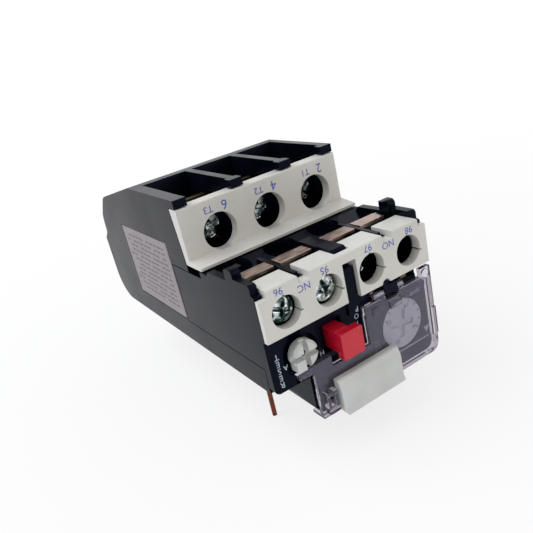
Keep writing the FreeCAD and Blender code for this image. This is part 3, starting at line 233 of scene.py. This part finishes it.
# Pad-printed inks: thin matt films with an uneven cover.
BLUE_INK = finish(
    "blue_pad_print", colours=("2f49a4", "4a62b4"), roughness=(0.45, 0.6),
    drift_mm=0.25, grain_mm=0.1, depth_mm=0.004, **{"IOR": 1.5},
)
PALE_INK = finish(
    "pale_pad_print", colours=("a4b2c4", "c6d0dc"), roughness=(0.45, 0.6),
    drift_mm=0.25, grain_mm=0.1, depth_mm=0.004, **{"IOR": 1.5},
)
GREY_INK = finish(
    "grey_label_print", colours=("5f585d", "6f676c"), roughness=(0.5, 0.6),
    drift_mm=0.4, grain_mm=0.15, depth_mm=0.004, **{"IOR": 1.5},
)
DIM_INK = finish(
    "dim_panel_print", colours=("32343f", "3e404c"), roughness=(0.3, 0.4),
    drift_mm=0.6, grain_mm=0.2, depth_mm=0.004, **{"IOR": 1.4},
)

FINISH_OF_SLOT = {
    "black_moulding": BLACK, "grey_moulding": IVORY, "red_plastic": RED, "pale_plastic": WHITE,
    "clear_plastic": CLEAR, "zinc_steel": ZINC, "steel": STEEL, "brass_metal": BRASS,
    "copper_metal": COPPER, "paper_label": PAPER, "brown_plastic": BROWN,
}
for node, shape in frame["nodes"].items():
    chosen = FINISH_OF_SLOT[slot_of[node]]
    if node.startswith("contact_strip"):
        chosen = STRIP
    # the dial takes the white that is painted brighter to make up for the cover's dimming
    if node == "setting_dial":
        chosen = DIAL_WHITE_PAINTED_BRIGHTER
    for material_slot in shape.material_slots:
        material_slot.material = chosen


# ---------------------------------------------------------------- shapes
def shown(name, mesh, body):
    """Put a finished mesh into the scene as a piece that rides on one body."""
    made = bpy.data.objects.new(name, mesh)
    bpy.context.scene.collection.objects.link(made)
    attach(made, body)
    return made


def grid_faces(rows, columns):
    """Quads between the rings of a grid of points; each ring closes on itself."""
    i, j = np.meshgrid(np.arange(rows - 1), np.arange(columns), indexing="ij")
    k = (j + 1) % columns
    quads = np.stack([i * columns + j, i * columns + k, (i + 1) * columns + k, (i + 1) * columns + j], -1)
    return quads.reshape(-1, 4)


def soften(node, width_mm, turn_deg=0.0, segments=2, angle=35):
    """A copy of a part whose sharp edges are rounded, which stands for the part. A round part
    may be turned about its own axis, which runs along Y through the middle of its box."""
    source = frame["nodes"][node]
    shape = bpy.data.objects.new(node + "_edges", source.data.copy())
    bpy.context.scene.collection.objects.link(shape)
    weld = shape.modifiers.new("weld", "WELD")
    weld.merge_threshold = 2e-6
    flat = shape.modifiers.new("flat", "DECIMATE")
    flat.decimate_type = "DISSOLVE"
    flat.angle_limit = math.radians(1.0)
    edge = shape.modifiers.new("edge", "BEVEL")
    edge.width = width_mm * MM
    edge.segments = segments
    edge.limit_method = "ANGLE"
    edge.angle_limit = math.radians(angle)
    edge.use_clamp_overlap = True
    edge.harden_normals = True
    mesh = bpy.data.meshes.new_from_object(shape.evaluated_get(bpy.context.evaluated_depsgraph_get()))
    bpy.data.objects.remove(shape)
    low, high = corners(node)
    middle = Matrix.Translation(Vector((low + high) / 2))
    mesh.transform(middle @ Matrix.Rotation(math.radians(turn_deg), 4, "Y") @ middle.inverted())
    mesh.materials.clear()
    mesh.materials.append(source.material_slots[0].material)
    made = shown(node + "_moulded", mesh, owner[node])
    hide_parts(node)


SCREW_STEPS = 96
RECESS_RINGS = 26
RECESS_WALL = 0.18 * MM
RECESS_LOSS = 0.35
TIP_CHAMFER = 0.4 * MM


def turned_screw(centre, face, head_r, head_t, shank_r, end, dome, arm, bar, depth, turn_deg):
    """Pan head screw: a profile (radius, depth along Y) turned about Y, its face a dome
    dome * (r / head_r)^2 that falls towards the rim, sunk inside a cross of arms arm long and
    bar wide that is turned by turn_deg; the cross gets shallower outwards."""
    around = np.linspace(0, 2 * np.pi, SCREW_STEPS, endpoint=False)
    inner = np.linspace(0.02, 0.96, RECESS_RINGS) * head_r
    rim = np.array([0.985, 1.0, 1.0, 0.97])
    rim_depth = np.array([0.05, 0.14, 0.92, 1.0]) * head_t
    radius = np.concatenate([inner, rim * head_r, [shank_r, shank_r, shank_r * 0.7]])
    level = np.concatenate([
        dome * (inner / head_r) ** 2, dome + rim_depth,
        [head_t + dome, end - face - TIP_CHAMFER, end - face],
    ])
    r, t = np.meshgrid(radius, around, indexing="ij")
    u, w = r * np.cos(t), r * np.sin(t)
    lean = math.radians(turn_deg)
    p = u * math.cos(lean) + w * math.sin(lean)
    q = w * math.cos(lean) - u * math.sin(lean)
    inside = np.minimum(arm - np.abs(p), bar - np.abs(q))
    inside = np.maximum(inside, np.minimum(arm - np.abs(q), bar - np.abs(p)))
    sink = np.clip(inside / RECESS_WALL, 0, 1) * depth * (1 - RECESS_LOSS * r / arm)
    sink[RECESS_RINGS:] = 0
    y = face + level[:, None] + np.maximum(sink, 0)
    points = np.stack([centre[0] + u, y, centre[1] + w], -1).reshape(-1, 3)
    tips = np.array([[centre[0], face + depth, centre[1]], [centre[0], end, centre[1]]])
    first = np.arange(SCREW_STEPS)
    after = (first + 1) % SCREW_STEPS
    last = (len(radius) - 1) * SCREW_STEPS
    front_tip = np.full(SCREW_STEPS, len(points))
    fans = np.concatenate([
        np.stack([front_tip, after, first], -1),
        np.stack([front_tip + 1, last + first, last + after], -1),
    ])
    faces = grid_faces(len(radius), SCREW_STEPS).tolist() + fans.tolist()
    return np.concatenate([points, tips]), faces


def screw_set(name, node, screws):
    """All screws of one kind as one mesh, which stands for the plain node."""
    points, faces = [], []
    for settings in screws:
        first = sum(len(block) for block in points)
        turned, skin = turned_screw(**settings)
        points.append(turned)
        faces += [[corner + first for corner in face] for face in skin]
    mesh = bpy.data.meshes.new(name)
    mesh.from_pydata(np.concatenate(points).tolist(), [], faces)
    mesh.materials.append(ZINC)
    mesh.polygons.foreach_set("use_smooth", [True] * len(mesh.polygons))
    mesh.update()
    made = shown(name, mesh, owner[node])
    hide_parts(node)


def lettering(name, text, height_mm, centre, ink, body, up=-UP, right=-RIGHT, depth_mm=0.01):
    """Printed or raised text: its middle at centre, reading along right, its top along up."""
    curve = bpy.data.curves.new(name, "FONT")
    curve.body = text
    curve.size = height_mm * MM / 0.7
    curve.align_x, curve.align_y = "CENTER", "CENTER"
    curve.resolution_u = 3
    curve.extrude = depth_mm * MM
    outline = bpy.data.objects.new(name + "_outline", curve)
    mesh = bpy.data.meshes.new_from_object(outline)
    bpy.data.objects.remove(outline)
    right, up = Vector(right), Vector(up)
    turn = Matrix((right, up, right.cross(up))).transposed().to_4x4()
    mesh.transform(Matrix.Translation(Vector(centre)) @ turn)
    mesh.materials.clear()
    mesh.materials.append(ink)
    shown(name, mesh, body)


def film(name, patches, ink, body):
    """Printed patches as one mesh: each patch is the array of its corners, in order."""
    points = np.concatenate(patches)
    faces, first = [], 0
    for patch in patches:
        faces.append(list(range(first, first + len(patch))))
        first += len(patch)
    mesh = bpy.data.meshes.new(name)
    mesh.from_pydata(points.tolist(), [], faces)
    mesh.materials.append(ink)
    mesh.update()
    shown(name, mesh, body)


def coil_spring(name, node, wire_r_mm, turns):
    """Return spring that stands for a plain sleeve: a round wire whose middle follows a helix
    about Y. Its angle grows evenly and its place along Y is t - sin(2 pi t) / (2 pi), so both
    end turns lie flat."""
    low, high = corners(node)
    wire_r = wire_r_mm * MM
    middle = (low + high) / 2
    coil_r = (high[0] - low[0]) / 2 - wire_r
    t, around = np.meshgrid(
        np.linspace(0, 1, 48 * turns + 1), np.linspace(0, 2 * np.pi, 12, endpoint=False), indexing="ij"
    )
    turn = (2 * np.pi * turns * t)[..., None]
    outward = np.cos(turn) * RIGHT + np.sin(turn) * UP
    rise = (t - np.sin(2 * np.pi * t) / (2 * np.pi))[..., None]
    along = low[1] + wire_r + rise * (high[1] - low[1] - 2 * wire_r)
    wire = outward * np.cos(around)[..., None] + REAR * np.sin(around)[..., None]
    points = middle * (RIGHT + UP) + outward * coil_r + REAR * along + wire * wire_r
    rows, columns = t.shape
    ends = [list(range(columns))[::-1], list(range((rows - 1) * columns, rows * columns))]
    mesh = bpy.data.meshes.new(name)
    mesh.from_pydata(points.reshape(-1, 3).tolist(), [], grid_faces(rows, columns).tolist() + ends)
    mesh.materials.append(STEEL)
    mesh.polygons.foreach_set("use_smooth", [True] * (len(mesh.polygons) - 2) + [False] * 2)
    mesh.update()
    made = shown(name, mesh, owner[node])
    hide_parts(node)
    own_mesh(made)


# ---------------------------------------------------------------- softened edges
ROUNDED_EDGES_MM = {
    "base_housing": 0.45, "control_housing": 0.2, "load_terminal_cover": 0.25,
    "aux_terminal_cover": 0.22, "clear_cover": 0.22, "stop_button": 0.35,
    "reset_knob": 0.28, "finger_tab": 0.35, "test_slider": 0.15, "load_clamp_plates": 0.15,
    "aux_clamp_plates": 0.12, "contact_strip_95": 0.1, "contact_strip_96": 0.1,
    "contact_strip_97": 0.1, "contact_strip_98": 0.1, "load_terminal_bar_1": 0.15,
    "load_terminal_bar_2": 0.15, "load_terminal_bar_3": 0.15, "contactor_pin_left": 0.15,
    "contactor_pin_middle": 0.15, "contactor_pin_right": 0.15,
}
for node, width_mm in ROUNDED_EDGES_MM.items():
    soften(node, width_mm)
DIAL_TURN = 11.0
soften("setting_dial", 0.15, DIAL_TURN)

# ---------------------------------------------------------------- screws
AUX_PITCH = 10.85 * MM
AUX_SCREW_LENGTH = 11.0 * MM
aux_low, aux_high = corners("aux_terminal_screws")
load_low, load_high = corners("load_terminal_screws")
aux_head_r = (aux_high[2] - aux_low[2]) / 2
load_head_r = (load_high[2] - load_low[2]) / 2
aux_z = (aux_high[2] + aux_low[2]) / 2
load_z = (load_high[2] + load_low[2]) / 2
outer_left, outer_right = aux_low[0] + aux_head_r, aux_high[0] - aux_head_r
aux_x = [outer_left, outer_left + AUX_PITCH, outer_right - AUX_PITCH, outer_right]
backed_out, screwed_in = aux_low[1], aux_high[1] - AUX_SCREW_LENGTH
aux_faces = [backed_out, backed_out, screwed_in, screwed_in]
screw_set("aux_screws_turned", "aux_terminal_screws", [
    {
        "centre": (x, aux_z), "face": face, "head_r": aux_head_r, "head_t": 1.6 * MM,
        "shank_r": 1.7 * MM, "end": face + AUX_SCREW_LENGTH, "dome": 0.4 * MM,
        "arm": 0.8 * aux_head_r, "bar": 0.17 * aux_head_r, "depth": 1.5 * MM, "turn_deg": turn_deg,
    }
    for x, face, turn_deg in zip(aux_x, aux_faces, (-24, 12, 35, 8))
])
load_x = np.linspace(load_low[0] + load_head_r, load_high[0] - load_head_r, 3)
screw_set("load_screws_turned", "load_terminal_screws", [
    {
        "centre": (x, load_z), "face": load_low[1], "head_r": load_head_r, "head_t": 2.2 * MM,
        "shank_r": 2.0 * MM, "end": load_high[1], "dome": 0.5 * MM,
        "arm": 0.78 * load_head_r, "bar": 0.19 * load_head_r, "depth": 1.6 * MM, "turn_deg": turn_deg,
    }
    for x, turn_deg in zip(load_x, (10, -5, 28))
])

coil_spring("stop_coil_spring", "stop_spring", wire_r_mm=0.25, turns=3)
coil_spring("reset_coil_spring", "reset_spring", wire_r_mm=0.2, turns=3)

# ---------------------------------------------------------------- printed marks
# The marks read from the cable side, so they stand upside down here.
FILM = 0.015 * MM
cover_low = corners("aux_terminal_cover")[0]
EDGE_Z = cover_low[2]
COVER_FACE = cover_low[1] - FILM
RIB_FACE = cover_low[1] + 0.9 * MM - FILM
BLOCK_FACE = cover_low[1] + 1.5 * MM - FILM
COLUMN_FACE = cover_low[1] + 2.0 * MM - FILM
# Each: name, text, height in mm, place across and above the edge in mm, face, ink.
MARKS = [
    ("terminal_96", "96", 1.55, -17.7, 9.75, COVER_FACE, BLUE_INK),
    ("contact_NC", "NC", 1.55, -11.7, 8.2, COVER_FACE, BLUE_INK),
    ("terminal_95", "95", 1.55, -6.2, 9.6, COVER_FACE, BLUE_INK),
    ("terminal_97", "97", 1.55, 5.6, 9.8, COVER_FACE, BLUE_INK),
    ("contact_NO", "NO", 1.55, 11.2, 8.5, COVER_FACE, BLUE_INK),
    ("terminal_98", "98", 1.55, 17.5, 9.5, COVER_FACE, BLUE_INK),
    ("reset_T", "T", 1.35, -20.4, -4.6, COLUMN_FACE, PALE_INK),
    ("reset_E_upper", "E", 1.35, -20.4, -6.25, COLUMN_FACE, PALE_INK),
    ("reset_S", "S", 1.35, -20.4, -7.9, COLUMN_FACE, PALE_INK),
    ("reset_E_lower", "E", 1.35, -20.4, -9.55, COLUMN_FACE, PALE_INK),
    ("reset_R", "R", 1.35, -20.4, -11.2, COLUMN_FACE, PALE_INK),
    ("reset_auto", "A", 1.25, -18.8, -7.8, COLUMN_FACE, PALE_INK),
    ("reset_hand", "H", 1.15, -9.8, -8.7, BLOCK_FACE, PALE_INK),
    ("stop_P", "P", 1.15, 0.7, -2.75, RIB_FACE, PALE_INK),
    ("stop_O", "O", 1.15, 0.7, -4.65, BLOCK_FACE, PALE_INK),
    ("stop_T", "T", 1.15, 0.7, -6.45, BLOCK_FACE, PALE_INK),
    ("stop_S", "S", 1.15, 0.7, -8.25, BLOCK_FACE, PALE_INK),
    ("test_mark", "TEST", 1.1, 17.9, -5.9, BLOCK_FACE, PALE_INK),
]
for name, text, height_mm, x_mm, z_mm, face, ink in MARKS:
    lettering(name, text, height_mm, (x_mm * MM, face, EDGE_Z + z_mm * MM), ink, "housing")

load_cover_low, load_cover_high = corners("load_terminal_cover")
LOAD_FACE = load_cover_low[1] + 5.4 * MM - FILM
BAY_REAR = cover_low[1] + 52.0 * MM
BAY_SLOPE = Vector((0, 2.0, 15.9)).normalized()
for number, phase, x in zip("642", ("T3", "T2", "T1"), load_x):
    mark_z = load_cover_high[2] - 2.4 * MM
    for text, height_mm, spot in (
        (number, 2.3, (x + 2.4 * MM, LOAD_FACE, mark_z)),
        (phase, 1.65, (x - 1.9 * MM, LOAD_FACE, mark_z + 0.1 * MM)),
    ):
        lettering("pole_" + text, text, height_mm, spot, BLUE_INK, "housing")
    raised = Vector((x + 3.6 * MM, BAY_REAR - 0.1 * MM, EDGE_Z + 10.2 * MM)) + BAY_SLOPE * 12.9 * MM
    lettering(
        "bay_" + number, number, 2.7, raised, BLACK, "housing",
        up=-BAY_SLOPE, depth_mm=0.2,
    )

# Dial: nine ticks on an arc about its axis, four numbers inside them.
dial_low, dial_high = corners("setting_dial")
dial_x, dial_z = (dial_low[0] + dial_high[0]) / 2, (dial_low[2] + dial_high[2]) / 2
DIAL_FACE = dial_low[1] - FILM
TICK_FROM, TICK_TO, TICK_HALF, NUMBER_RADIUS = 5.0 * MM, 5.65 * MM, 0.11 * MM, 4.3 * MM
ticks = []
for turn in np.radians(np.linspace(152, -33, 9)):
    along = np.array([math.cos(turn), 0, math.sin(turn)])
    across = np.array([-math.sin(turn), 0, math.cos(turn)]) * TICK_HALF
    start, stop = (np.array([dial_x, DIAL_FACE, dial_z]) + along * r for r in (TICK_FROM, TICK_TO))
    ticks.append(np.array([start - across, stop - across, stop + across, start + across])[::-1])
film("dial_ticks", ticks, BLUE_INK, "dial")
for text, turn_deg in (("12", 153), ("14", 63), ("16", -33), ("10", -117)):
    turn = math.radians(turn_deg)
    spot = (
        dial_x + NUMBER_RADIUS * math.cos(turn), DIAL_FACE, dial_z + NUMBER_RADIUS * math.sin(turn),
    )
    lettering("dial_" + text, text, 1.05, spot, BLUE_INK, "dial")

# Panel: the arrow that the dial is read against and a dim field beside it.
arrow = np.array([[19.0, -16.1], [20.9, -16.1], [19.95, -17.8]])
field = np.array([[3.9, -12.6], [5.6, -12.6], [5.6, -16.2], [3.9, -16.2]])
for name, outline, ink in (("dial_arrow", arrow, PALE_INK), ("panel_field", field, DIM_INK)):
    spots = np.stack([outline[:, 0] * MM, np.full(len(outline), BLOCK_FACE), EDGE_Z + outline[:, 1] * MM], -1)
    film(name, [spots], ink, "housing")

# Label: rows of small bars in place of print; a bar's length follows the sine of its number.
label_low, label_high = corners("side_label")
LABEL_FACE = label_low[0] - 0.005 * MM
bars = []
for row, z in enumerate(np.arange(label_high[2] - 2.2 * MM, label_low[2] + 1.6 * MM, -1.45 * MM)):
    y, number = label_low[1] + 2.5 * MM, row * 7
    while y < label_high[1] - 4.0 * MM:
        length = (1.4 + 1.1 * abs(math.sin(number * 1.7))) * MM
        low_z, high_z = z - 0.3 * MM, z + 0.3 * MM
        bars.append(np.array([
            [LABEL_FACE, y, low_z], [LABEL_FACE, y, high_z],
            [LABEL_FACE, y + length, high_z], [LABEL_FACE, y + length, low_z],
        ]))
        y += length + (0.5 + 1.6 * (number % 5 == 4)) * MM
        number += 1
film("label_rows", bars, GREY_INK, "housing")


# ---------------------------------------------------------------- floor, light and camera
SHADOW_REACH = 0.08
PLAIN_WHITE_FROM = 0.3
NEAR_SHARE = 0.78


def studio_floor(size, level):
    """White floor that goes on as the white background and keeps the relay's shadow: near the
    relay a share of it is lit, and with the distance from the middle it turns to plain white."""
    material = bpy.data.materials.new("studio_floor")
    material.use_nodes = True
    tree = material.node_tree
    tree.nodes.clear()
    seen = add(tree, "LightPath")
    rays = add(tree, "Math", {"operation": "ADD"}, {
        0: seen.outputs["Is Camera Ray"], 1: seen.outputs["Is Glossy Ray"],
    }).outputs[0]
    rays = add(tree, "Math", {"operation": "ADD", "use_clamp": True}, {
        0: rays, 1: seen.outputs["Is Transmission Ray"],
    }).outputs[0]
    away = add(tree, "VectorMath", {"operation": "LENGTH"}, {
        0: add(tree, "TexCoord").outputs["Object"],
    }).outputs["Value"]
    share = add(tree, "MapRange", {"interpolation_type": "SMOOTHSTEP"}, {
        "Value": away, "From Min": SHADOW_REACH, "From Max": PLAIN_WHITE_FROM,
        "To Min": NEAR_SHARE, "To Max": 1.0,
    }).outputs["Result"]
    share = add(tree, "Math", {"operation": "MULTIPLY"}, {0: rays, 1: share}).outputs[0]
    plain = add(tree, "BsdfDiffuse", inputs={"Color": linear("f2f2f2")}).outputs["BSDF"]
    glow = add(tree, "Emission", inputs={"Color": (1, 1, 1, 1), "Strength": 1.0}).outputs["Emission"]
    mixed = add(tree, "MixShader", inputs={0: share, 1: plain, 2: glow}).outputs[0]
    add(tree, "OutputMaterial", inputs={"Surface": mixed})
    half = size / 2
    points = [[-half, -half, level], [half, -half, level], [half, half, level], [-half, half, level]]
    mesh = bpy.data.meshes.new("studio_floor")
    mesh.from_pydata(points, [], [[0, 1, 2, 3]])
    mesh.materials.append(material)
    floor = bpy.data.objects.new("studio_floor", mesh)
    bpy.context.scene.collection.objects.link(floor)


def soft_box(name, place, target, size, power, colour):
    """Square soft light at a place, turned to a target."""
    lamp = bpy.data.lights.new(name, "AREA")
    lamp.size = size
    lamp.energy = power
    lamp.color = linear(colour)[:3]
    lit = bpy.data.objects.new(name, lamp)
    lit.location = place
    lit.rotation_euler = (Vector(target) - Vector(place)).to_track_quat("-Z", "Y").to_euler()
    bpy.context.scene.collection.objects.link(lit)


def white_room(strength):
    """World that lights softly and shows as plain white behind the relay and in its gloss."""
    world = bpy.data.worlds.new("white_room")
    world.use_nodes = True
    tree = world.node_tree
    tree.nodes.clear()
    seen = add(tree, "LightPath")
    rays = add(tree, "Math", {"operation": "ADD"}, {
        0: seen.outputs["Is Camera Ray"], 1: seen.outputs["Is Glossy Ray"],
    }).outputs[0]
    rays = add(tree, "Math", {"operation": "ADD", "use_clamp": True}, {
        0: rays, 1: seen.outputs["Is Transmission Ray"],
    }).outputs[0]
    level = add(tree, "MapRange", inputs={"Value": rays, "To Min": strength, "To Max": 1.0})
    room = add(tree, "Background", inputs={"Color": (1, 1, 1, 1), "Strength": level.outputs["Result"]})
    add(tree, "OutputWorld", inputs={"Surface": room.outputs["Background"]})
    bpy.context.scene.world = world


def camera_at(place, right, up, ahead, lens):
    """Camera at a place, with its own right, up and view directions."""
    data = bpy.data.cameras.new("camera")
    data.lens = lens
    data.sensor_width = 36
    data.clip_start = 0.005
    taken = bpy.data.objects.new("camera", data)
    turn = Matrix((right, up, [-a for a in ahead])).transposed().to_4x4()
    taken.matrix_world = Matrix.Translation(Vector(place)) @ turn
    bpy.context.scene.collection.objects.link(taken)
    bpy.context.scene.camera = taken


low, high = (np.array(corner) for corner in cad_box)
middle = (low + high) / 2
studio_floor(size=6.0, level=float(low[2]) - 0.2 * MM)
soft_box(
    "window", place=middle + np.array([-0.45, 0.25, 0.75]), target=middle,
    size=0.7, power=5.4, colour="f0f4ff",
)
soft_box(
    "fill", place=middle + np.array([0.4, -0.75, 0.35]), target=middle,
    size=0.6, power=1.2, colour="fff4ea",
)
white_room(strength=0.6)
camera_at(
    place=(-68.865 * MM, -114.080 * MM, 70.605 * MM),
    right=(0.816137, -0.537104, -0.213165),
    up=(0.372422, 0.206835, 0.904722),
    ahead=(0.441839, 0.817765, -0.368835),
    lens=40.71,
)
bpy.context.scene.view_settings.view_transform = "Standard"
